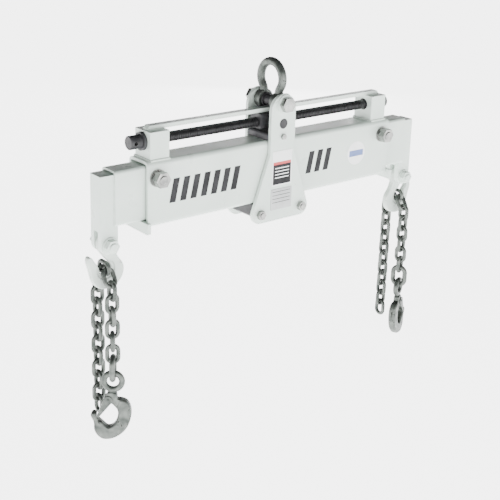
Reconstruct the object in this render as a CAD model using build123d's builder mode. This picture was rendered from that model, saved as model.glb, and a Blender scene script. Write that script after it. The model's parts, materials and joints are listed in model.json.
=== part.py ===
from build123d import *
from math import cos, radians, sin
import os

os.makedirs("parts", exist_ok=True)

# Frame: origin where the crane hook bears inside the crown of the shackle bow,
# +X along the beam towards the right arm, +Y to the back, +Z up. Millimetres.

# Levels below the shackle crown
pin_z = -85.0
tube_z = -250.0
screw_z = tube_z + 116.5
pivot_z = tube_z - 102.0
lower_bolt_z = tube_z - 102.0

# Main tube and its end fittings
tube_length = 758.0
tube_width = 76.2
tube_height = 152.4
tube_wall = 6.35
tube_corner = 11.0
tube_half = tube_length / 2
tube_top = tube_z + tube_height / 2
tube_bottom = tube_z - tube_height / 2
support_thick = 9.5
support_height = 25.4
support_width = 101.6

# Uprights, guide bar and lead screw
upright_width = 50.8
upright_depth = 63.5
upright_height = 64.8
upright_inner = 317.0
upright_outer = upright_inner + upright_width
upright_mid = upright_inner + upright_width / 2
upright_top = tube_top + upright_height
guide_width = 19.05
guide_height = 9.5
guide_half = 361.0
screw_radius = 12.0
bushing_radius = 15.0
bushing_bore = screw_radius + 0.06
collar_gap = 0.7
collar_radius = 21.0
collar_length = 7.5
hub_radius = 16.0
hub_length = 29.5
hub_socket = 8.0
hub_cross_radius = 4.25
end_collar_radius = 16.5
end_collar_length = 25.0
roll_pin_radius = 2.5

# Telescoping arms
arm_width = 54.0
arm_height = 127.0
arm_wall = 4.8
arm_corner = 8.0
arm_inner_end = 60.0
arm_outer_end = 456.0
arm_top = tube_z + 66.0
arm_bottom = arm_top - arm_height
arm_travel = 200.0
clamp_x = 353.5
clamp_z = tube_z + 38.0
clamp_radius = 11.1
clamp_flats = 33.3

# Fork bars at the arm ends
bar_width = 44.0
bar_depth = 44.2
bar_outer = 490.0
bar_mid = bar_outer - bar_width / 2
bar_top = arm_top - arm_wall - 3.4
fork_gap = 16.8
fork_top = tube_z - 70.0
pivot_radius = 9.5
pivot_flats = 28.6
pivot_washer_radius = 19.0
pivot_washer_thick = 3.5

# Carriage
plate_thick = 9.5
plate_inner = 40.5
plate_outer = plate_inner + plate_thick
plate_half = 38.0
plate_top_z = tube_z + 150.0
plate_flare_z = tube_z + 45.0
plate_foot_x = 64.0
plate_foot_radius = 24.0
boss_radius = 23.5
boss_thick = 6.0
pin_radius = 11.1
pin_flats = 33.3
pin_head = 14.0
nut_half_length = 46.0
nut_half_depth = 19.0
nut_bottom = screw_z - 14.5
nut_top = upright_top - 1.6
trunnion_radius = 12.5
pad_half = 36.0
pad_height = 15.0
pad_screw_z = tube_z + 84.5
pad_screw_radius = 4.0
block_half = 80.0
block_height = 34.0
block_fit = 0.2
lower_bolt_radius = 6.35
lower_flats = 20.6

# Shackle
wire_radius = 10.2
bow_radius = 40.0
ear_radius = 24.0
ear_inner = 18.5
ear_outer = 37.5
ear_mid = (ear_inner + ear_outer) / 2
leg_flare = 0.8
leg_rise = 27.0

# Chain
link_wire = 5.0
link_bend = 12.5
link_reach = 20.5
link_step = 30.7
coupling_wire = 6.5
coupling_bend = 17.0
coupling_reach = 26.5
saddle_x = -2.0
saddle_y = 10.3
saddle_lean = 32.0

# Grab hook and sling hook
grab_thick = 15.8
grab_web = 10.4
grab_eye = 20.0
eye_bend = 20.5
eye_wire = 7.0
hook_thick = 20.0
hook_chamfer = 4.0
neck_thick = 16.0
neck_relief = 26.0
rivet = (-11.0, -45.0)
rivet_radius = 3.0
latch_boss = 10.0
latch_tip = (-33.0, -84.0)
latch_tip_radius = 3.0
latch_hollow = 7.4
latch_hollow_up = (-7.0, -31.0)
latch_hollow_in = (5.0, -49.0)
latch_hollow_end = (-35.0, -87.5)
latch_half = 10.5
latch_sheet = 2.0


def save(piece, label):
    """Name one piece and write it to its own file."""
    piece.part.label = label
    export_step(piece.part, f"parts/{label}.step")


# ---------------------------------------------------------------- shackle
bow_centre_z = wire_radius - bow_radius

with BuildPart() as shackle_bow:
    for side in (-1, 1):
        with BuildSketch(Plane.XZ.offset(-side * ear_mid)):
            with Locations((0, pin_z)):
                Circle(ear_radius)
        extrude(amount=(ear_outer - ear_inner) / 2, both=True)
    fillet(shackle_bow.edges().filter_by(GeomType.CIRCLE), radius=3.5)
    with BuildLine(Plane.YZ) as bow:
        Spline(
            (ear_mid, pin_z + 4),
            (ear_mid + leg_flare, pin_z + leg_rise),
            (bow_radius, bow_centre_z),
            tangents=((0, 1), (0, 1)),
        )
        ThreePointArc((bow_radius, bow_centre_z), (0, wire_radius), (-bow_radius, bow_centre_z))
        Spline(
            (-bow_radius, bow_centre_z),
            (-ear_mid - leg_flare, pin_z + leg_rise),
            (-ear_mid, pin_z + 4),
            tangents=((0, -1), (0, -1)),
        )
    with BuildSketch(Plane.XY.offset(pin_z + 4)):
        with Locations((0, ear_mid)):
            Circle(wire_radius)
    sweep(path=bow.wire())
    with BuildSketch(Plane.XZ):
        with Locations((0, pin_z)):
            Circle(pin_radius + 0.1)
    extrude(amount=plate_outer, both=True, mode=Mode.SUBTRACT)
save(shackle_bow, "shackle_bow")

# ---------------------------------------------------------------- carriage
for name, face_y in (("front", -plate_outer), ("back", plate_inner)):
    with BuildPart() as side_plate:
        with BuildSketch(Plane.XZ.offset(-face_y)) as outline:
            with Locations((-plate_foot_x, lower_bolt_z), (plate_foot_x, lower_bolt_z)):
                Circle(plate_foot_radius)
            with Locations((0, plate_flare_z)):
                Rectangle(2 * plate_half, 2, align=(Align.CENTER, Align.MAX))
            make_hull()
            with Locations((0, plate_top_z)):
                Circle(plate_half)
                Rectangle(2 * plate_half, plate_top_z - plate_flare_z + 1, align=(Align.CENTER, Align.MAX))
            with Locations((0, pin_z)):
                Circle(pin_radius + 0.2, mode=Mode.SUBTRACT)
            with Locations((0, screw_z)):
                Circle(trunnion_radius + 0.1, mode=Mode.SUBTRACT)
            with Locations((0, pad_screw_z)):
                Circle(pad_screw_radius + 0.2, mode=Mode.SUBTRACT)
            with Locations((-plate_foot_x, lower_bolt_z), (plate_foot_x, lower_bolt_z)):
                Circle(lower_bolt_radius + 0.2, mode=Mode.SUBTRACT)
        extrude(amount=-plate_thick)
        rim = side_plate.faces().sort_by(Axis.Y)
        outer_face = rim[0] if name == "front" else rim[-1]
        chamfer(outer_face.outer_wire().edges(), length=0.8)
    save(side_plate, f"side_plate_{name}")

with BuildPart() as plate_bosses:
    for side in (-1, 1):
        with BuildSketch(Plane.XZ.offset(side * plate_outer)):
            with Locations((0, pin_z)):
                Circle(boss_radius)
                Circle(pin_radius + 0.2, mode=Mode.SUBTRACT)
        extrude(amount=side * boss_thick)
save(plate_bosses, "plate_bosses")

boss_face = plate_outer + boss_thick

with BuildPart() as pin_bolt:
    with BuildSketch(Plane.XZ.offset(boss_face)):
        with Locations((0, pin_z)):
            RegularPolygon(pin_flats / 2, 6, major_radius=False)
    extrude(amount=pin_head)
    with BuildSketch(Plane.XZ.offset(boss_face)):
        with Locations((0, pin_z)):
            Circle(pin_radius)
    extrude(amount=-(2 * boss_face + 22))
    chamfer(pin_bolt.faces().sort_by(Axis.Y)[-1].edges(), length=1.5)
save(pin_bolt, "pin_bolt")

with BuildPart() as pin_nut:
    with BuildSketch(Plane.XZ.offset(-boss_face)):
        with Locations((0, pin_z)):
            RegularPolygon(pin_flats / 2, 6, major_radius=False)
            Circle(pin_radius + 0.05, mode=Mode.SUBTRACT)
    extrude(amount=-19)
save(pin_nut, "pin_nut")

with BuildPart() as pin_spool:
    with BuildSketch(Plane.XZ):
        with Locations((0, pin_z)):
            Circle(13.5)
    extrude(amount=17.5, both=True)
    for side in (-1, 1):
        with BuildSketch(Plane.XZ.offset(side * 12)):
            with Locations((0, pin_z)):
                Circle(17.0)
        extrude(amount=side * 4.5)
    with BuildSketch(Plane.XZ):
        with Locations((0, pin_z)):
            Circle(pin_radius + 0.15)
    extrude(amount=20, both=True, mode=Mode.SUBTRACT)
save(pin_spool, "pin_spool")

with BuildPart() as nut_block:
    with BuildSketch(Plane.XY.offset(nut_bottom)):
        Rectangle(2 * nut_half_length, 2 * nut_half_depth)
    extrude(amount=nut_top - nut_bottom)
    chamfer(nut_block.edges().filter_by(Axis.X), length=2.5)
    with BuildSketch(Plane.XZ):
        with Locations((0, screw_z)):
            Circle(trunnion_radius)
    extrude(amount=plate_outer - 0.5, both=True)
    with BuildSketch(Plane.YZ):
        with Locations((0, screw_z)):
            Circle(screw_radius + 0.3)
    extrude(amount=nut_half_length + 1, both=True, mode=Mode.SUBTRACT)
save(nut_block, "nut_block")

with BuildPart() as slide_pad:
    with BuildSketch(Plane.XY.offset(tube_top + 0.5)):
        Rectangle(2 * pad_half, 2 * (plate_inner - block_fit))
    extrude(amount=pad_height)
    chamfer(slide_pad.faces().sort_by(Axis.Z)[-1].edges(), length=3)
    with BuildSketch(Plane.XZ):
        with Locations((0, pad_screw_z)):
            Circle(pad_screw_radius + 0.1)
    extrude(amount=plate_outer, both=True, mode=Mode.SUBTRACT)
save(slide_pad, "slide_pad")

with BuildPart() as pad_screws:
    for side in (-1, 1):
        with BuildSketch(Plane.XZ.offset(side * plate_outer)):
            with Locations((0, pad_screw_z)):
                Circle(pad_screw_radius)
        extrude(amount=-side * 28)
        with BuildSketch(Plane.XZ.offset(side * plate_outer)):
            with Locations((0, pad_screw_z)):
                RegularPolygon(6.5, 6, major_radius=False)
        extrude(amount=side * 5.5)
save(pad_screws, "pad_screws")

with BuildPart() as lower_block:
    with BuildSketch(Plane.XY.offset(tube_bottom - 0.5)):
        Rectangle(2 * block_half, 2 * (plate_inner - block_fit))
    extrude(amount=-block_height)
    chamfer(lower_block.faces().sort_by(Axis.Z)[0].edges().filter_by(Axis.Y), length=5)
    with BuildSketch(Plane.XZ):
        with Locations((-plate_foot_x, lower_bolt_z), (plate_foot_x, lower_bolt_z)):
            Circle(lower_bolt_radius + 0.15)
    extrude(amount=plate_outer, both=True, mode=Mode.SUBTRACT)
save(lower_block, "lower_block")

with BuildPart() as lower_bolts:
    for x in (-plate_foot_x, plate_foot_x):
        with BuildSketch(Plane.XZ.offset(-plate_outer)):
            with Locations((x, lower_bolt_z)):
                RegularPolygon(lower_flats / 2, 6, major_radius=False)
        extrude(amount=-8)
        with BuildSketch(Plane.XZ.offset(-plate_outer)):
            with Locations((x, lower_bolt_z)):
                Circle(lower_bolt_radius)
        extrude(amount=2 * plate_outer + 12)
save(lower_bolts, "lower_bolts")

with BuildPart() as lower_nuts:
    for x in (-plate_foot_x, plate_foot_x):
        with BuildSketch(Plane.XZ.offset(plate_outer)):
            with Locations((x, lower_bolt_z)):
                RegularPolygon(lower_flats / 2, 6, major_radius=False)
                Circle(lower_bolt_radius + 0.05, mode=Mode.SUBTRACT)
        extrude(amount=10)
save(lower_nuts, "lower_nuts")

label_width = 62.0
label_top = tube_z + 50.0
label_split = tube_z - 37.0
data_top = tube_z - 45.0
data_bottom = tube_z - 98.0

with BuildPart() as warning_plate:
    with BuildSketch(Plane.XZ.offset(plate_outer + 0.02)):
        with Locations((0, (label_top + label_split) / 2)):
            RectangleRounded(label_width, label_top - label_split, 2)
    extrude(amount=0.5)
save(warning_plate, "warning_plate")

with BuildPart() as data_plate:
    with BuildSketch(Plane.XZ.offset(plate_outer + 0.02)):
        with Locations((0, (data_top + data_bottom) / 2)):
            RectangleRounded(label_width + 4, data_top - data_bottom, 2)
    extrude(amount=0.8)
save(data_plate, "data_plate")

# ---------------------------------------------------------------- beam
with BuildPart() as main_tube:
    with BuildSketch(Plane.YZ.offset(-tube_half)):
        with Locations((0, tube_z)):
            RectangleRounded(tube_width, tube_height, tube_corner)
            RectangleRounded(
                tube_width - 2 * tube_wall,
                tube_height - 2 * tube_wall,
                tube_corner - tube_wall,
                mode=Mode.SUBTRACT,
            )
    extrude(amount=tube_length)
    with BuildSketch(Plane.XZ):
        with Locations((-clamp_x, clamp_z), (clamp_x, clamp_z)):
            Circle(clamp_radius + 0.2)
    extrude(amount=tube_width, both=True, mode=Mode.SUBTRACT)
save(main_tube, "main_tube")

with BuildPart() as support_bars:
    for side in (-1, 1):
        with BuildSketch(Plane.YZ.offset(side * tube_half)):
            with Locations((0, arm_bottom - 0.4)):
                Rectangle(support_width, support_height, align=(Align.CENTER, Align.MAX))
        extrude(amount=side * support_thick)
    chamfer(support_bars.edges().filter_by(Axis.X), length=1.2)
save(support_bars, "support_bars")

for name, side in (("left", -1), ("right", 1)):
    with BuildPart() as upright:
        with BuildSketch(Plane.XY.offset(tube_top)):
            with Locations((side * upright_mid, 0)):
                Rectangle(upright_width, upright_depth)
        extrude(amount=upright_height)
        chamfer(upright.edges().filter_by(Axis.Z), length=1.5)
        with BuildSketch(Plane.YZ.offset(side * (upright_inner - 1))):
            with Locations((0, screw_z)):
                Circle(bushing_radius + 0.02)
        extrude(amount=side * (upright_width + 2), mode=Mode.SUBTRACT)
    save(upright, f"upright_{name}")

with BuildPart() as guide_bar:
    with BuildSketch(Plane.XY.offset(upright_top)):
        Rectangle(2 * guide_half, guide_width)
    extrude(amount=guide_height)
    guide_ends = guide_bar.faces().sort_by(Axis.Z)[-1].edges().filter_by(Axis.Y)
    chamfer(guide_ends, length=6)
save(guide_bar, "guide_bar")

with BuildPart() as screw_bushings:
    for side in (-1, 1):
        with BuildSketch(Plane.YZ.offset(side * upright_inner)):
            with Locations((0, screw_z)):
                Circle(bushing_radius)
                Circle(bushing_bore, mode=Mode.SUBTRACT)
        extrude(amount=side * upright_width)
save(screw_bushings, "screw_bushings")

washer_thick = 3.5
washer_face = tube_width / 2 + washer_thick

with BuildPart() as clamp_washers:
    for side in (-1, 1):
        with BuildSketch(Plane.XZ.offset(side * tube_width / 2)):
            with Locations((-clamp_x, clamp_z), (clamp_x, clamp_z)):
                Circle(20.5)
                Circle(clamp_radius + 0.2, mode=Mode.SUBTRACT)
        extrude(amount=side * washer_thick)
save(clamp_washers, "clamp_washers")

with BuildPart() as clamp_bolts:
    for x in (-clamp_x, clamp_x):
        with BuildSketch(Plane.XZ.offset(-washer_face)):
            with Locations((x, clamp_z)):
                RegularPolygon(clamp_flats / 2, 6, major_radius=False)
        extrude(amount=-14)
        with BuildSketch(Plane.XZ.offset(-washer_face)):
            with Locations((x, clamp_z)):
                Circle(clamp_radius)
        extrude(amount=2 * washer_face + 24)
    bolt_tips = clamp_bolts.faces().sort_by(Axis.Y)[:2]
    chamfer(bolt_tips.edges(), length=1.5)
save(clamp_bolts, "clamp_bolts")

with BuildPart() as clamp_nuts:
    for x in (-clamp_x, clamp_x):
        with BuildSketch(Plane.XZ.offset(washer_face)):
            with Locations((x, clamp_z)):
                RegularPolygon(clamp_flats / 2, 6, major_radius=False)
                Circle(clamp_radius + 0.05, mode=Mode.SUBTRACT)
        extrude(amount=22)
save(clamp_nuts, "clamp_nuts")

# ---------------------------------------------------------------- lead screw
collar_face = upright_outer + collar_gap
hub_face = collar_face + collar_length
screw_left = hub_face + hub_socket
screw_right = collar_face + end_collar_length

with BuildPart() as lead_screw:
    with BuildSketch(Plane.YZ.offset(-screw_left)):
        with Locations((0, screw_z)):
            Circle(screw_radius)
    extrude(amount=screw_left + screw_right)
    for x, reach in (
        (-collar_face - collar_length / 2, collar_radius),
        (collar_face + end_collar_length / 2, end_collar_radius),
    ):
        with BuildSketch(Plane.XY.offset(screw_z)):
            with Locations((x, 0)):
                Circle(roll_pin_radius)
        extrude(amount=reach, both=True, mode=Mode.SUBTRACT)
save(lead_screw, "lead_screw")

with BuildPart() as thrust_collar:
    with BuildSketch(Plane.YZ.offset(-collar_face)):
        with Locations((0, screw_z)):
            Circle(collar_radius)
            Circle(screw_radius + 0.05, mode=Mode.SUBTRACT)
    extrude(amount=-collar_length)
    with BuildSketch(Plane.XY.offset(screw_z)):
        with Locations((-collar_face - collar_length / 2, 0)):
            Circle(roll_pin_radius)
    extrude(amount=collar_radius, both=True, mode=Mode.SUBTRACT)
save(thrust_collar, "thrust_collar")

with BuildPart() as drive_hub:
    with BuildSketch(Plane.YZ.offset(-hub_face)):
        with Locations((0, screw_z)):
            Circle(hub_radius)
    extrude(amount=-hub_length)
    chamfer(drive_hub.faces().sort_by(Axis.X)[0].edges(), length=1.5)
    with BuildSketch(Plane.YZ.offset(-hub_face)):
        with Locations((0, screw_z)):
            Circle(screw_radius + 0.05)
    extrude(amount=-hub_socket - 0.1, mode=Mode.SUBTRACT)
    with BuildSketch(Plane.XZ):
        with Locations((-hub_face - hub_length + 11, screw_z)):
            Circle(hub_cross_radius)
    extrude(amount=hub_radius + 1, both=True, mode=Mode.SUBTRACT)
save(drive_hub, "drive_hub")

with BuildPart() as end_collar:
    with BuildSketch(Plane.YZ.offset(collar_face)):
        with Locations((0, screw_z)):
            Circle(end_collar_radius)
    extrude(amount=end_collar_length + 3)
    chamfer(end_collar.faces().sort_by(Axis.X)[-1].edges(), length=6)
    with BuildSketch(Plane.YZ.offset(collar_face)):
        with Locations((0, screw_z)):
            Circle(screw_radius + 0.05)
    extrude(amount=end_collar_length + 0.1, mode=Mode.SUBTRACT)
    with BuildSketch(Plane.XY.offset(screw_z)):
        with Locations((collar_face + end_collar_length / 2, 0)):
            Circle(roll_pin_radius)
    extrude(amount=end_collar_radius, both=True, mode=Mode.SUBTRACT)
save(end_collar, "end_collar")

with BuildPart() as roll_pins:
    for x, reach in (
        (-collar_face - collar_length / 2, collar_radius - 0.8),
        (collar_face + end_collar_length / 2, end_collar_radius - 0.8),
    ):
        with BuildSketch(Plane.XY.offset(screw_z)):
            with Locations((x, 0)):
                Circle(roll_pin_radius - 0.03)
        extrude(amount=reach, both=True)
save(roll_pins, "roll_pins")

# ---------------------------------------------------------------- arm assemblies
# Outline of the grab hook about its pivot, throat opening towards -X.
grab_outline = [
    (22, -12), (25, -26), (33, -41), (43, -56), (45, -71), (39, -89), (24, -103), (2, -108),
    (-18, -104), (-34, -86), (-42, -56), (-47, -32), (-44, -25), (-38, -26), (-31, -36),
    (-21, -50), (-17, -62), (-12, -71.5), (saddle_x, -76), (8, -71.5), (12.5, -61), (10, -50),
    (2, -40), (-6, -30), (-15, -18), (-19, -6), (0, 6), (18, 2),
]
saddle_wire_z = -76 + link_wire + 0.3
saddle_z = saddle_wire_z + link_bend
bowl_relief_z = -61.0
bowl_relief_radius = 23.0

# Outline of the sling hook about the centre of its eye, point towards -U.
hook_outline = [
    (12, -42), (22, -43), (31, -47), (39.5, -61), (42, -77), (40.5, -91), (37, -104), (27, -123),
    (15, -135), (2, -143), (-12, -147), (-27, -145.5), (-35.5, -139), (-44.5, -121.5),
    (-46, -101), (-51.5, -83), (-46, -77.5), (-39.5, -79.5), (-38, -88), (-31, -97),
    (-21, -107), (-12, -113.5), (-3, -111), (5, -102), (10.4, -85), (10.4, -72), (3, -61),
    (-5, -54), (-11, -52), (-15.5, -50), (-18, -44.5), (-16, -35), (-11, -27), (0, -26), (9, -32),
]


def link_path(plane, bend, reach):
    """Closed centreline of one chain link, long axis along the plane's Y."""
    straight = reach - bend
    with BuildLine(plane) as path:
        Line((bend, -straight), (bend, straight))
        ThreePointArc((bend, straight), (0, reach), (-bend, straight))
        Line((-bend, straight), (-bend, -straight))
        ThreePointArc((-bend, -straight), (0, -reach), (bend, -straight))
    return path.wire()


def link_section(plane, bend, reach):
    """Frame across the wire of one link, at the start of its centreline."""
    return Plane(
        origin=plane.from_local_coords((bend, bend - reach, 0)),
        x_dir=plane.x_dir,
        z_dir=plane.y_dir,
    )


def hanging_plane(x, y, z, turn):
    """Upright plane through a point, turned about the vertical."""
    across = Vector(cos(radians(turn)), sin(radians(turn)), 0)
    return Plane(origin=(x, y, z), x_dir=across, z_dir=across.cross(Vector(0, 0, 1)))


def chain_links(planes, couplings=()):
    """One solid per link, along a list of link planes, then any coupling links."""
    with BuildPart() as links:
        for plane in planes:
            with BuildSketch(link_section(plane, link_bend, link_reach)):
                Circle(link_wire)
            sweep(path=link_path(plane, link_bend, link_reach))
        for plane in couplings:
            with BuildSketch(link_section(plane, coupling_bend, coupling_reach)):
                Circle(coupling_wire)
            sweep(path=link_path(plane, coupling_bend, coupling_reach))
    return links


# name, side, turn of the sling hook's plane about the vertical
arms = (
    ("left", -1, -39.0),
    ("right", 1, -156.0),
)
load_count = 6
tail_count = 11
strand_top = 90.0

for name, side, hook_turn in arms:
    pivot_x = side * bar_mid

    with BuildPart() as arm:
        with BuildSketch(Plane.YZ.offset(side * arm_inner_end)):
            with Locations((0, arm_top - arm_height / 2)):
                RectangleRounded(arm_width, arm_height, arm_corner)
                RectangleRounded(
                    arm_width - 2 * arm_wall,
                    arm_height - 2 * arm_wall,
                    arm_corner - arm_wall,
                    mode=Mode.SUBTRACT,
                )
        extrude(amount=side * (arm_outer_end - arm_inner_end))
        with BuildSketch(Plane.XZ):
            with Locations((side * (clamp_x - arm_travel / 2), clamp_z)):
                SlotCenterToCenter(arm_travel, 2 * clamp_radius + 1)
        extrude(amount=arm_width, both=True, mode=Mode.SUBTRACT)
        with BuildSketch(Plane.XY.offset(arm_bottom - 1)):
            with Locations((pivot_x, 0)):
                Rectangle(bar_width + 0.6, bar_depth + 0.1)
        extrude(amount=arm_wall + 6, mode=Mode.SUBTRACT)
    save(arm, f"arm_{name}")

    with BuildPart() as end_bar:
        with BuildSketch(Plane.XZ):
            with Locations((pivot_x, pivot_z)):
                Circle(bar_width / 2)
                Rectangle(bar_width, bar_top - pivot_z, align=(Align.CENTER, Align.MIN))
        extrude(amount=bar_depth / 2, both=True)
        chamfer(end_bar.edges().filter_by(Axis.Z), length=1.2)
        with BuildSketch(Plane.YZ.offset(pivot_x)):
            with Locations((0, fork_top)):
                Rectangle(fork_gap, fork_top - pivot_z + bar_width, align=(Align.CENTER, Align.MAX))
        extrude(amount=bar_width, both=True, mode=Mode.SUBTRACT)
        with BuildSketch(Plane.XZ):
            with Locations((pivot_x, pivot_z)):
                Circle(pivot_radius + 0.15)
        extrude(amount=bar_depth, both=True, mode=Mode.SUBTRACT)
    save(end_bar, f"end_bar_{name}")

    washer_seat = bar_depth / 2
    nut_seat = washer_seat + pivot_washer_thick

    with BuildPart() as pivot_washers:
        for face in (-1, 1):
            with BuildSketch(Plane.XZ.offset(face * washer_seat)):
                with Locations((pivot_x, pivot_z)):
                    Circle(pivot_washer_radius)
                    Circle(pivot_radius + 0.15, mode=Mode.SUBTRACT)
            extrude(amount=face * pivot_washer_thick)
    save(pivot_washers, f"pivot_washers_{name}")

    with BuildPart() as pivot_bolt:
        with BuildSketch(Plane.XZ.offset(-nut_seat)):
            with Locations((pivot_x, pivot_z)):
                RegularPolygon(pivot_flats / 2, 6, major_radius=False)
        extrude(amount=-12)
        with BuildSketch(Plane.XZ.offset(-nut_seat)):
            with Locations((pivot_x, pivot_z)):
                Circle(pivot_radius)
        extrude(amount=2 * nut_seat + 16.5)
        chamfer(pivot_bolt.faces().sort_by(Axis.Y)[0].edges(), length=1.2)
    save(pivot_bolt, f"pivot_bolt_{name}")

    with BuildPart() as pivot_nut:
        with BuildSketch(Plane.XZ.offset(nut_seat)):
            with Locations((pivot_x, pivot_z)):
                RegularPolygon(pivot_flats / 2, 6, major_radius=False)
                Circle(pivot_radius + 0.05, mode=Mode.SUBTRACT)
        extrude(amount=13)
    save(pivot_nut, f"pivot_nut_{name}")

    with BuildPart() as grab_hook:
        with BuildSketch(Plane.XZ):
            with BuildLine():
                Spline(*[(pivot_x - side * x, pivot_z + z) for x, z in grab_outline], periodic=True)
            make_face()
            with Locations((pivot_x, pivot_z)):
                Circle(grab_eye)
        extrude(amount=grab_thick / 2, both=True)
        grab_rims = grab_hook.faces().filter_by(Axis.Y)
        chamfer(grab_rims.edges(), length=1.6)
        for face in (-1, 1):
            with BuildSketch(Plane.XZ.offset(face * grab_web / 2)):
                with Locations((pivot_x - side * saddle_x, pivot_z + bowl_relief_z)):
                    Circle(bowl_relief_radius)
            extrude(amount=face * grab_thick, mode=Mode.SUBTRACT)
        with BuildSketch(Plane.XZ):
            with Locations((pivot_x, pivot_z)):
                Circle(pivot_radius + 0.08)
        extrude(amount=grab_thick, both=True, mode=Mode.SUBTRACT)
    save(grab_hook, f"grab_hook_{name}")

    # Saddle link through the throat, and one leaning link either side of it.
    chain_x = pivot_x - side * saddle_x
    lean = radians(saddle_lean)
    crown_z = pivot_z + saddle_z - 0.8
    saddle_planes = [
        Plane(origin=(chain_x, 0, pivot_z + saddle_z), x_dir=(0, 0, 1), z_dir=(1, 0, 0)),
    ]
    for face in (-1, 1):
        down = Vector(0, face * sin(lean), -cos(lean))
        centre = Vector(chain_x, face * saddle_y, crown_z) + down * link_reach
        saddle_planes.append(Plane(origin=centre, x_dir=(1, 0, 0), z_dir=Vector(1, 0, 0).cross(down)))
    saddle_links = chain_links(saddle_planes)
    save(saddle_links, f"saddle_links_{name}")

    # Load strand in front, free tail behind, each hung from a leaning link.
    strand_y = saddle_y + 2 * link_reach * sin(lean)
    strand_z = crown_z - 2 * link_reach * cos(lean) + 2 * link_wire + 0.3 - link_reach
    twist = (hook_turn - 90.0 * load_count + 90.0) % 180.0 - 90.0
    load_turns = [strand_top + (90.0 + twist / load_count) * i for i in range(load_count + 1)]
    load_planes = [
        hanging_plane(chain_x, -strand_y, strand_z - i * link_step, load_turns[i])
        for i in range(load_count)
    ]
    coupling_top = strand_z - (load_count - 1) * link_step - link_reach + link_wire + coupling_wire
    coupling_z = coupling_top + 0.3 - coupling_reach
    coupling_plane = hanging_plane(chain_x, -strand_y, coupling_z, load_turns[load_count])
    load_chain = chain_links(load_planes, [coupling_plane])
    save(load_chain, f"load_chain_{name}")

    tail_planes = [
        hanging_plane(chain_x, strand_y, strand_z - i * link_step, strand_top + 90.0 * i)
        for i in range(tail_count)
    ]
    tail_chain = chain_links(tail_planes)
    save(tail_chain, f"tail_chain_{name}")

    # Sling hook hung by its eye on the coupling link.
    eye_z = coupling_z - coupling_reach + coupling_wire + eye_wire + 0.3 - eye_bend
    face_plane = hanging_plane(chain_x, -strand_y, eye_z, hook_turn)
    eye_section = Plane(
        origin=face_plane.from_local_coords((eye_bend, 0, 0)),
        x_dir=face_plane.x_dir,
        z_dir=face_plane.y_dir,
    )

    with BuildPart() as sling_hook:
        with BuildSketch(face_plane):
            with BuildLine():
                Spline(*hook_outline, periodic=True)
            make_face()
        extrude(amount=hook_thick / 2, both=True)
        hook_rims = sling_hook.faces().sort_by(Axis(face_plane.origin, face_plane.z_dir))
        chamfer(hook_rims[0].edges() + hook_rims[-1].edges(), hook_chamfer)
        for face in (-1, 1):
            with BuildSketch(face_plane.offset(face * neck_thick / 2)):
                with Locations(rivet):
                    Circle(neck_relief)
            extrude(amount=face * hook_thick, mode=Mode.SUBTRACT)
        with BuildLine(face_plane):
            CenterArc((0, 0), eye_bend, 0, 360)
        with BuildSketch(eye_section):
            Circle(eye_wire)
        sweep()
        with BuildSketch(face_plane):
            with Locations(rivet):
                Circle(rivet_radius + 0.05)
        extrude(amount=hook_thick, both=True, mode=Mode.SUBTRACT)
    save(sling_hook, f"sling_hook_{name}")

    with BuildPart() as hook_latch:
        with BuildSketch(face_plane):
            with Locations(rivet):
                Circle(latch_boss)
            with Locations(latch_tip):
                Circle(latch_tip_radius)
            make_hull()
        extrude(amount=latch_half, both=True)
        with BuildSketch(face_plane):
            with Locations(rivet, latch_hollow_up, latch_hollow_in):
                Circle(latch_hollow)
            with Locations(latch_hollow_end):
                Circle(1)
            make_hull()
        extrude(amount=latch_half - latch_sheet, both=True, mode=Mode.SUBTRACT)
        with BuildSketch(face_plane):
            with Locations(rivet):
                Circle(rivet_radius + 0.08)
        extrude(amount=hook_thick, both=True, mode=Mode.SUBTRACT)
    save(hook_latch, f"hook_latch_{name}")

    with BuildPart() as latch_pin:
        with BuildSketch(face_plane):
            with Locations(rivet):
                Circle(rivet_radius)
        extrude(amount=latch_half + 1.5, both=True)
    save(latch_pin, f"latch_pin_{name}")
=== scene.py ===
import json
import math
import random

import bpy
from mathutils import Matrix, Vector


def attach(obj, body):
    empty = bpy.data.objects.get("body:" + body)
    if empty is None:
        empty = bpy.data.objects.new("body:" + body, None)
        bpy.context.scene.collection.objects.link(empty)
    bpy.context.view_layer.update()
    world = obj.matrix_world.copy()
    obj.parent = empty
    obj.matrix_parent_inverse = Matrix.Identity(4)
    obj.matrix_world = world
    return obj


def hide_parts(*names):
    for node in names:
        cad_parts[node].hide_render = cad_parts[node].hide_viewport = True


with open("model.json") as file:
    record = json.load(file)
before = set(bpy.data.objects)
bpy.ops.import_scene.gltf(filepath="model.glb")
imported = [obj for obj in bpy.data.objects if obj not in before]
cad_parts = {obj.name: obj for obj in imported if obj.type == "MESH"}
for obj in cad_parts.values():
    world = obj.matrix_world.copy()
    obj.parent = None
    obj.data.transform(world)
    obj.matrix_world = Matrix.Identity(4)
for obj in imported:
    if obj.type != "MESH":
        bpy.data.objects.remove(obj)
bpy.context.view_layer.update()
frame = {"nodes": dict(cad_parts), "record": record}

MM = 0.001

# Lengths and levels are in millimetres, in the shared frame.
PIN_Z = -85.0
TUBE_TOP = -173.8
TUBE_FACE = -38.1
PLATE_FACE = -50.0

# Lead screw: its outline, its thread and the two plain ends.
SCREW_Z = -133.5
SCREW_RADIUS = 11.95
SCREW_ROOT = 9.5
SCREW_PITCH = 5.0
SCREW_THREAD_END = 310.0
SCREW_LEFT = -384.0
SCREW_RIGHT = 393.5
SCREW_TIP_RADIUS = 10.6
SCREW_TIP_CHAMFER = 1.3
THREAD_SEGMENTS = 28
END_SEGMENTS = 48

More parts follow.
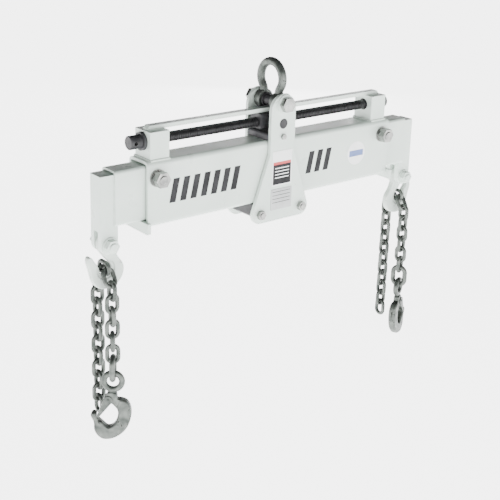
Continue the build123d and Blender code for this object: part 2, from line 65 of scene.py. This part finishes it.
# Weld beads: where each seam runs, and the bead's radius along it.
UPRIGHT_INNER, UPRIGHT_OUTER, UPRIGHT_SEAM_Y = 316.6, 368.2, 32.2
UPRIGHT_SEAM_Z = TUBE_TOP + 0.6
UPRIGHT_BEAD = 2.6
GUIDE_INNER, GUIDE_OUTER, GUIDE_SEAM_Y, GUIDE_SEAM_Z = 318.5, 359.5, 9.9, -108.8
GUIDE_BEAD = 1.9
ARM_SEAM_X, ARM_SEAM_Y, ARM_SEAM_LOW, ARM_SEAM_HIGH = 456.2, 22.4, -310.0, -194.0
ARM_BEAD = 1.7
BOSS_SEAM_Y, BOSS_SEAM_RADIUS, BOSS_SEAM_STEPS = 50.4, 24.2, 96
BOSS_BEAD = 1.7
BEAD_STEP = 1.6
BEAD_SIDES = 8
BEAD_RIPPLE = 0.16
BEAD_WAVE = 1.9
BEAD_JITTER = 0.06
BEAD_SEED = 4

# Rounded edges and forged surfaces.
EDGE_RADIUS = 1.0
FORGED = ("sling_hook_", "grab_hook_")
FORGE_VOXEL = 0.9
FORGE_PASSES = 6

# Flat graphics: slanted bars on the tube, a disc with a band, and the two plates.
BAR_LOW, BAR_HIGH, BAR_SLANT, BAR_WIDE, BAR_STEP = -277.0, -221.0, 12.0, 17.0, 29.0
BAR_GROUPS = ((-322.0, 7), (88.0, 3))
BAR_Y = TUBE_FACE - 0.15
BAND_Y = TUBE_FACE - 0.25
DISC_X, DISC_Z, DISC_RADIUS, DISC_CORNERS = 263.5, -250.0, 31.0, 48
BAND_BOX = (239.0, -258.0, 288.0, -242.0)
LABEL_Y = PLATE_FACE - 0.62
LABEL_LINE_Y = LABEL_Y - 0.1
DATA_Y = PLATE_FACE - 0.92
LABEL_HALF, LABEL_LOW, LABEL_MID, LABEL_HIGH = 28, -284, -234, -227
LABEL_LINE_HALF, LABEL_LINE_TALL = 22, 2.2
LABEL_LINE_LEVELS = (-244, -252, -260, -268)
DATA_LINE_TALL = 1.4
DATA_LINE_LEVELS = (-303, -312, -321, -330)

# Floor and light.
FLOOR_Z = -845.0
FLOOR_HALF = 9000
FLOOR_GLOW = 5.0
SKY_STRENGTH = 5.0
SKY_STOPS = [
    (0.0, (0.9, 0.9, 0.9)),
    (0.14, (0.9, 0.9, 0.9)),
    (0.2, (0.012, 0.012, 0.012)),
    (1.0, (0.006, 0.006, 0.006)),
]
LIGHT_AIM = (0, 0, -0.3)

# Materials: noise levels that the colours and the gloss are spread over.
NOISE_LOW, NOISE_HIGH = 0.3, 0.7
WEAR_SCALE, WEAR_DETAIL, WEAR_EDGE = 70.0, 9.0, 0.03
GLOSS_CLOUD = 2.3
GRAIN_DETAIL = 6.0
COAT_ROUGHNESS = 0.2
RELIEF_STRENGTH = 0.5
EDGE_SAMPLES = 4


# ---------------------------------------------------------------- materials
def graph(name):
    """An empty procedural material: its node tree, its shader and its object coordinates."""
    mat = bpy.data.materials.new(name)
    mat.use_nodes = True
    tree = mat.node_tree
    shader = tree.nodes["Principled BSDF"]
    coords = tree.nodes.new("ShaderNodeTexCoord")
    return mat, tree, shader, coords.outputs["Object"]


def noise(tree, coords, scale, detail=4.0):
    """Noise over the object's own coordinates."""
    tex = tree.nodes.new("ShaderNodeTexNoise")
    tex.inputs["Scale"].default_value = scale
    tex.inputs["Detail"].default_value = detail
    tree.links.new(coords, tex.inputs["Vector"])
    return tex.outputs["Fac"]


def ramp(tree, value, stops):
    """Colour ramp through (position, colour) stops."""
    node = tree.nodes.new("ShaderNodeValToRGB")
    elements = node.color_ramp.elements
    for i, (pos, colour) in enumerate(stops):
        element = elements[i] if i < 2 else elements.new(pos)
        element.position = pos
        element.color = (*colour, 1)
    tree.links.new(value, node.inputs["Fac"])
    return node.outputs["Color"]


def spread(tree, value, low, high):
    """The middle of a noise's range spread between two numbers."""
    node = tree.nodes.new("ShaderNodeMapRange")
    node.inputs["From Min"].default_value = NOISE_LOW
    node.inputs["From Max"].default_value = NOISE_HIGH
    node.inputs["To Min"].default_value = low
    node.inputs["To Max"].default_value = high
    tree.links.new(value, node.inputs["Value"])
    return node.outputs["Result"]


def overlay(tree, mask, under, over):
    """One colour laid over another where the mask is white."""
    node = tree.nodes.new("ShaderNodeMix")
    node.data_type = "RGBA"
    tree.links.new(mask, node.inputs["Factor"])
    tree.links.new(under, node.inputs["A"])
    node.inputs["B"].default_value = (*over, 1)
    return node.outputs["Result"]


def bump(tree, shader, height, distance):
    """Surface relief from a height, over softly rounded edges."""
    edges = tree.nodes.new("ShaderNodeBevel")
    edges.samples = EDGE_SAMPLES
    edges.inputs["Radius"].default_value = EDGE_RADIUS * MM
    node = tree.nodes.new("ShaderNodeBump")
    tree.links.new(edges.outputs["Normal"], node.inputs["Normal"])
    node.inputs["Distance"].default_value = distance
    node.inputs["Strength"].default_value = RELIEF_STRENGTH
    tree.links.new(height, node.inputs["Height"])
    tree.links.new(node.outputs["Normal"], shader.inputs["Normal"])


def finish_material(
    name, stops, cloud, rough, grain, depth,
    metallic=0.0, coat=0.0, wear=None, specular=0.5,
):
    """Mottled colour, uneven gloss and fine relief, with sparse worn spots.

    stops is the colour ramp over a noise of scale cloud, rough the lowest and highest
    roughness, grain and depth the scale and the height in metres of the relief, and wear
    the noise level above which the worn colour shows.
    """
    mat, tree, shader, coords = graph(name)
    colour = ramp(tree, noise(tree, coords, cloud), stops)
    if wear:
        level, worn = wear
        edge = [(level, (0, 0, 0)), (level + WEAR_EDGE, (1, 1, 1))]
        spots = ramp(tree, noise(tree, coords, WEAR_SCALE, WEAR_DETAIL), edge)
        colour = overlay(tree, spots, colour, worn)
    tree.links.new(colour, shader.inputs["Base Color"])
    gloss = spread(tree, noise(tree, coords, cloud * GLOSS_CLOUD), *rough)
    tree.links.new(gloss, shader.inputs["Roughness"])
    shader.inputs["Metallic"].default_value = metallic
    shader.inputs["Specular IOR Level"].default_value = specular
    shader.inputs["Coat Weight"].default_value = coat
    shader.inputs["Coat Roughness"].default_value = COAT_ROUGHNESS
    bump(tree, shader, noise(tree, coords, grain, GRAIN_DETAIL), depth)
    return mat


paint = finish_material(
    "off_white_paint", [(0.3, (0.52, 0.60, 0.55)), (0.7, (0.60, 0.67, 0.62))],
    7.0, (0.26, 0.40), 420.0, 0.0003, coat=0.35, wear=(0.73, (0.42, 0.46, 0.42)),
)
cast_paint = finish_material(
    "painted_forging", [(0.3, (0.46, 0.52, 0.48)), (0.7, (0.57, 0.63, 0.58))],
    30.0, (0.34, 0.52), 260.0, 0.0006, coat=0.15, wear=(0.66, (0.34, 0.35, 0.33)),
)
galvanised = finish_material(
    "galvanised_steel", [(0.3, (0.045, 0.053, 0.048)), (0.7, (0.14, 0.152, 0.14))],
    55.0, (0.34, 0.56), 330.0, 0.0006, metallic=0.75, wear=(0.66, (0.025, 0.028, 0.025)),
)
zinc = finish_material(
    "zinc_plate", [(0.3, (0.16, 0.165, 0.16)), (0.7, (0.38, 0.38, 0.365))],
    40.0, (0.22, 0.38), 500.0, 0.0002, metallic=0.95,
)
black = finish_material(
    "black_oxide", [(0.3, (0.012, 0.012, 0.013)), (0.7, (0.040, 0.040, 0.043))],
    45.0, (0.34, 0.52), 380.0, 0.0003, wear=(0.74, (0.06, 0.06, 0.06)), specular=0.25,
)
thread_steel = finish_material(
    "oiled_thread", [(0.3, (0.010, 0.010, 0.011)), (0.7, (0.030, 0.030, 0.032))],
    60.0, (0.26, 0.42), 300.0, 0.0002, metallic=0.4, wear=(0.70, (0.10, 0.10, 0.10)),
)
pad_plastic = finish_material(
    "pad_plastic", [(0.3, (0.03, 0.03, 0.035)), (0.7, (0.07, 0.07, 0.075))],
    30.0, (0.5, 0.7), 300.0, 0.0004,
)
plate_white = finish_material(
    "plate_white", [(0.3, (0.76, 0.77, 0.77)), (0.7, (0.84, 0.85, 0.85))],
    25.0, (0.28, 0.42), 700.0, 0.0001, wear=(0.74, (0.6, 0.6, 0.6)),
)
plate_grey = finish_material(
    "plate_grey", [(0.3, (0.30, 0.31, 0.31)), (0.7, (0.40, 0.41, 0.41))],
    25.0, (0.28, 0.42), 700.0, 0.0001, metallic=0.4,
)
ink_black = finish_material(
    "ink_black", [(0.3, (0.010, 0.010, 0.011)), (0.7, (0.024, 0.024, 0.026))],
    35.0, (0.55, 0.70), 700.0, 0.0001, wear=(0.75, (0.1, 0.1, 0.1)), specular=0.15,
)
ink_red = finish_material(
    "ink_red", [(0.3, (0.42, 0.03, 0.03)), (0.7, (0.55, 0.05, 0.05))],
    35.0, (0.30, 0.45), 700.0, 0.0001,
)
ink_blue = finish_material(
    "ink_blue", [(0.3, (0.07, 0.12, 0.30)), (0.7, (0.11, 0.17, 0.38))],
    35.0, (0.30, 0.45), 700.0, 0.0001,
)
weld_paint = finish_material(
    "painted_weld", [(0.3, (0.50, 0.57, 0.52)), (0.7, (0.62, 0.69, 0.64))],
    60.0, (0.30, 0.50), 500.0, 0.0005, coat=0.2, wear=(0.70, (0.45, 0.45, 0.42)),
)

SLOT_LOOK = {
    "beam_paint": paint,
    "galvanised": galvanised,
    "zinc": zinc,
    "black_oxide": black,
    "pad_plastic": pad_plastic,
}
NODE_LOOK = {
    "warning_plate": plate_white,
    "data_plate": plate_grey,
    "grab_hook_left": cast_paint,
    "grab_hook_right": cast_paint,
}


# ---------------------------------------------------------------- mesh tools
def piece(name, verts, faces, look, smooth=False):
    """An object from vertices in millimetres."""
    mesh = bpy.data.meshes.new(name)
    mesh.from_pydata([Vector(v) * MM for v in verts], [], faces)
    mesh.materials.append(look)
    for poly in mesh.polygons:
        poly.use_smooth = smooth
    mesh.validate()
    mesh.update()
    obj = bpy.data.objects.new(name, mesh)
    bpy.context.scene.collection.objects.link(obj)
    return obj


def forge(obj):
    """Soft forged edges, made by modifiers only."""
    remesh = obj.modifiers.new("remesh", "REMESH")
    remesh.mode = "VOXEL"
    remesh.voxel_size = FORGE_VOXEL * MM
    remesh.use_smooth_shade = True
    soften = obj.modifiers.new("soften", "SMOOTH")
    soften.factor = 0.5
    soften.iterations = FORGE_PASSES


def screw_point(x, radius, turn):
    """A point about the screw axis."""
    return (x, radius * math.cos(turn), SCREW_Z + radius * math.sin(turn))


def lathe(verts, faces, profile, segments):
    """Adds a closed body of revolution about the screw axis, from (x, radius) pairs."""
    base = len(verts)
    for x, radius in profile:
        for k in range(segments):
            verts.append(screw_point(x, radius, 2 * math.pi * k / segments))
    for i in range(len(profile) - 1):
        for k in range(segments):
            a = base + i * segments + k
            b = base + i * segments + (k + 1) % segments
            faces.append((a, b, b + segments, a + segments))
    faces.append(tuple(reversed(range(base, base + segments))))
    last = base + (len(profile) - 1) * segments
    faces.append(tuple(range(last, last + segments)))


def bead(verts, faces, path, radius, rng):
    """Adds a rippled weld bead along a path."""
    base = len(verts)
    for i, point in enumerate(path):
        ahead = Vector(path[min(i + 1, len(path) - 1)]) - Vector(path[max(i - 1, 0)])
        ahead.normalize()
        across = ahead.cross(Vector((0.31, 0.57, 0.76))).normalized()
        other = ahead.cross(across)
        jitter = rng.uniform(-BEAD_JITTER, BEAD_JITTER)
        size = radius * (1 + BEAD_RIPPLE * math.sin(i * BEAD_WAVE) + jitter)
        for k in range(BEAD_SIDES):
            turn = 2 * math.pi * k / BEAD_SIDES
            spoke = across * math.cos(turn) + other * math.sin(turn)
            verts.append(Vector(point) + size * spoke)
    for i in range(len(path) - 1):
        for k in range(BEAD_SIDES):
            a = base + i * BEAD_SIDES + k
            b = base + i * BEAD_SIDES + (k + 1) % BEAD_SIDES
            faces.append((a, b, b + BEAD_SIDES, a + BEAD_SIDES))


def seam(a, b):
    """Points along a straight seam."""
    a, b = Vector(a), Vector(b)
    count = max(2, int((b - a).length / BEAD_STEP))
    return [a.lerp(b, i / count) for i in range(count + 1)]


# ---------------------------------------------------------------- CAD nodes
slots = {row["node"]: row["material_slot"] for row in frame["record"]["subparts"]}
for name, obj in frame["nodes"].items():
    look = NODE_LOOK.get(name) or SLOT_LOOK[slots[name]]
    obj.data.materials.clear()
    obj.data.materials.append(look)
    if name.startswith(FORGED):
        forge(obj)

# ---------------------------------------------------------------- lead screw
# One turn of the thread: how far along the pitch, and the radius there.
THREAD = [(0.0, SCREW_ROOT), (0.30, SCREW_ROOT), (0.42, SCREW_RADIUS), (0.80, SCREW_RADIUS)]
row = len(THREAD)
turns = int(2 * SCREW_THREAD_END / SCREW_PITCH)
start_x = -turns * SCREW_PITCH / 2
steps = turns * THREAD_SEGMENTS
screw_verts, screw_faces = [], []
for k in range(steps + 1):
    turn = 2 * math.pi * k / THREAD_SEGMENTS
    for along, radius in THREAD:
        x = start_x + SCREW_PITCH * (k / THREAD_SEGMENTS + along)
        screw_verts.append(screw_point(x, radius, turn))
for k in range(steps):
    for j in range(row - 1):
        a = row * k + j
        screw_faces.append((a, a + 1, a + row + 1, a + row))
    if k + 1 + THREAD_SEGMENTS <= steps:
        a = row * k + row - 1
        b = row * (k + THREAD_SEGMENTS)
        screw_faces.append((a, b, b + row, a + row))

# The plain ends overlap the first and last turns of the thread.
ends = start_x + 1.5 * SCREW_PITCH
left_end = [
    (SCREW_LEFT, SCREW_TIP_RADIUS), (SCREW_LEFT + SCREW_TIP_CHAMFER, SCREW_RADIUS),
    (ends, SCREW_RADIUS),
]
right_end = [
    (-ends - 1.0, SCREW_RADIUS), (SCREW_RIGHT - SCREW_TIP_CHAMFER, SCREW_RADIUS),
    (SCREW_RIGHT, SCREW_TIP_RADIUS),
]
lathe(screw_verts, screw_faces, left_end, END_SEGMENTS)
lathe(screw_verts, screw_faces, right_end, END_SEGMENTS)
screw = piece("lead_screw_threaded", screw_verts, screw_faces, thread_steel)
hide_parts("lead_screw")
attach(screw, "screw")

# ---------------------------------------------------------------- welds
rng = random.Random(BEAD_SEED)
verts, faces = [], []
for side in (-1, 1):
    inner, outer = side * UPRIGHT_INNER, side * UPRIGHT_OUTER
    for y in (-UPRIGHT_SEAM_Y, UPRIGHT_SEAM_Y):
        path = seam((inner, y, UPRIGHT_SEAM_Z), (outer, y, UPRIGHT_SEAM_Z))
        bead(verts, faces, path, UPRIGHT_BEAD, rng)
    for x in (inner, outer):
        path = seam((x, -UPRIGHT_SEAM_Y, UPRIGHT_SEAM_Z), (x, UPRIGHT_SEAM_Y, UPRIGHT_SEAM_Z))
        bead(verts, faces, path, UPRIGHT_BEAD, rng)
    for y in (-GUIDE_SEAM_Y, GUIDE_SEAM_Y):
        path = seam((side * GUIDE_INNER, y, GUIDE_SEAM_Z), (side * GUIDE_OUTER, y, GUIDE_SEAM_Z))
        bead(verts, faces, path, GUIDE_BEAD, rng)
beam_welds = piece("beam_welds", verts, faces, weld_paint, smooth=True)
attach(beam_welds, "beam")

for side, name in ((-1, "left"), (1, "right")):
    verts, faces = [], []
    x = side * ARM_SEAM_X
    for y in (-ARM_SEAM_Y, ARM_SEAM_Y):
        bead(verts, faces, seam((x, y, ARM_SEAM_LOW), (x, y, ARM_SEAM_HIGH)), ARM_BEAD, rng)
    arm_weld = piece(f"arm_weld_{name}", verts, faces, weld_paint, smooth=True)
    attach(arm_weld, f"arm_{name}")

verts, faces = [], []
for y in (-BOSS_SEAM_Y, BOSS_SEAM_Y):
    ring = []
    for k in range(BOSS_SEAM_STEPS + 1):
        turn = 2 * math.pi * k / BOSS_SEAM_STEPS
        x = BOSS_SEAM_RADIUS * math.cos(turn)
        ring.append((x, y, PIN_Z + BOSS_SEAM_RADIUS * math.sin(turn)))
    bead(verts, faces, ring, BOSS_BEAD, rng)
boss_welds = piece("boss_welds", verts, faces, weld_paint, smooth=True)
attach(boss_welds, "carriage")


# ---------------------------------------------------------------- flat graphics
def panels(name, shapes, y, look, body):
    """Thin flat shapes facing the front, each a list of (x, z) corners."""
    verts, faces = [], []
    for shape in shapes:
        base = len(verts)
        verts += [(x, y, z) for x, z in shape]
        faces.append(tuple(range(base, base + len(shape))))
    obj = piece(name, verts, faces, look)
    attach(obj, body)


def block(x0, z0, x1, z1):
    """Corners of an upright rectangle."""
    return [(x0, z0), (x1, z0), (x1, z1), (x0, z1)]


def disc(x, z, radius, count):
    """Corners of a round shape."""
    steps = [2 * math.pi * k / count for k in range(count)]
    return [(x + radius * math.cos(t), z + radius * math.sin(t)) for t in steps]


def slanted_bar(x):
    """Corners of a bar that leans to the right."""
    right = x + BAR_WIDE
    lean = BAR_SLANT
    return [(x, BAR_LOW), (right, BAR_LOW), (right + lean, BAR_HIGH), (x + lean, BAR_HIGH)]


def stripes(half, tall, levels):
    """Thin level blocks, one above each level."""
    return [block(-half, z, half, z + tall) for z in levels]


bars = [slanted_bar(first + i * BAR_STEP) for first, count in BAR_GROUPS for i in range(count)]
round_mark = disc(DISC_X, DISC_Z, DISC_RADIUS, DISC_CORNERS)
panels("tube_bars", bars, BAR_Y, ink_black, "beam")
panels("tube_disc", [round_mark], BAR_Y, plate_white, "beam")
panels("tube_disc_band", [block(*BAND_BOX)], BAND_Y, ink_blue, "beam")

dark = block(-LABEL_HALF, LABEL_LOW, LABEL_HALF, LABEL_MID)
red = block(-LABEL_HALF, LABEL_MID, LABEL_HALF, LABEL_HIGH)
lines = stripes(LABEL_LINE_HALF, LABEL_LINE_TALL, LABEL_LINE_LEVELS)
rows = stripes(LABEL_HALF, DATA_LINE_TALL, DATA_LINE_LEVELS)
panels("label_dark", [dark], LABEL_Y, ink_black, "carriage")
panels("label_red", [red], LABEL_Y, ink_red, "carriage")
panels("label_lines", lines, LABEL_LINE_Y, plate_white, "carriage")
panels("data_lines", rows, DATA_Y, ink_black, "carriage")

# ---------------------------------------------------------------- stage
floor_look = finish_material(
    "pale_floor", [(0.3, (0.86, 0.86, 0.86)), (0.7, (0.88, 0.88, 0.88))],
    1.0, (0.85, 0.95), 30.0, 0.0001,
)
floor_shader = floor_look.node_tree.nodes["Principled BSDF"]
floor_shader.inputs["Emission Color"].default_value = (1, 1, 1, 1)
floor_shader.inputs["Emission Strength"].default_value = FLOOR_GLOW
far = FLOOR_HALF
corners = [(-far, -far, FLOOR_Z), (far, -far, FLOOR_Z), (far, far, FLOOR_Z), (-far, far, FLOOR_Z)]
floor = piece("floor", corners, [(0, 1, 2, 3)], floor_look)

world = bpy.data.worlds.new("studio")
world.use_nodes = True
sky = world.node_tree
background = sky.nodes["Background"]
direction = sky.nodes.new("ShaderNodeTexCoord")
split = sky.nodes.new("ShaderNodeSeparateXYZ")
sky.links.new(direction.outputs["Generated"], split.inputs["Vector"])
band = ramp(sky, split.outputs["Z"], SKY_STOPS)
sky.links.new(band, background.inputs["Color"])
background.inputs["Strength"].default_value = SKY_STRENGTH
bpy.context.scene.world = world


def softbox(name, place, size, power):
    """A large soft light aimed at the beam."""
    light = bpy.data.lights.new(name, "AREA")
    light.shape = "SQUARE"
    light.size = size
    light.energy = power
    obj = bpy.data.objects.new(name, light)
    obj.location = place
    obj.rotation_euler = (Vector(LIGHT_AIM) - Vector(place)).to_track_quat("-Z", "Y").to_euler()
    bpy.context.scene.collection.objects.link(obj)


softbox("key", (-0.6, -3.5, -0.05), size=1.4, power=70)
softbox("fill", (-3.5, -0.6, -0.1), size=1.2, power=22)
softbox("rim", (2.4, 2.8, -0.05), size=1.2, power=20)

# ---------------------------------------------------------------- camera
camera = bpy.data.cameras.new("camera")
camera.sensor_width = 36.0
camera.lens = 72.3308
camera.shift_y = -0.17
camera.clip_end = 50.0
view = bpy.data.objects.new("camera", camera)
across = Vector((0.779727, -0.62552, 0.027388))
upward = Vector((0.156043, 0.236502, 0.959019))
forward = Vector((0.606363, 0.7435, -0.282015))
pose = Matrix((across, upward, -forward)).transposed().to_4x4()
pose.translation = Vector((-1.537772, -1.812435, 0.448026))
view.matrix_world = pose
bpy.context.scene.collection.objects.link(view)
bpy.context.scene.camera = view
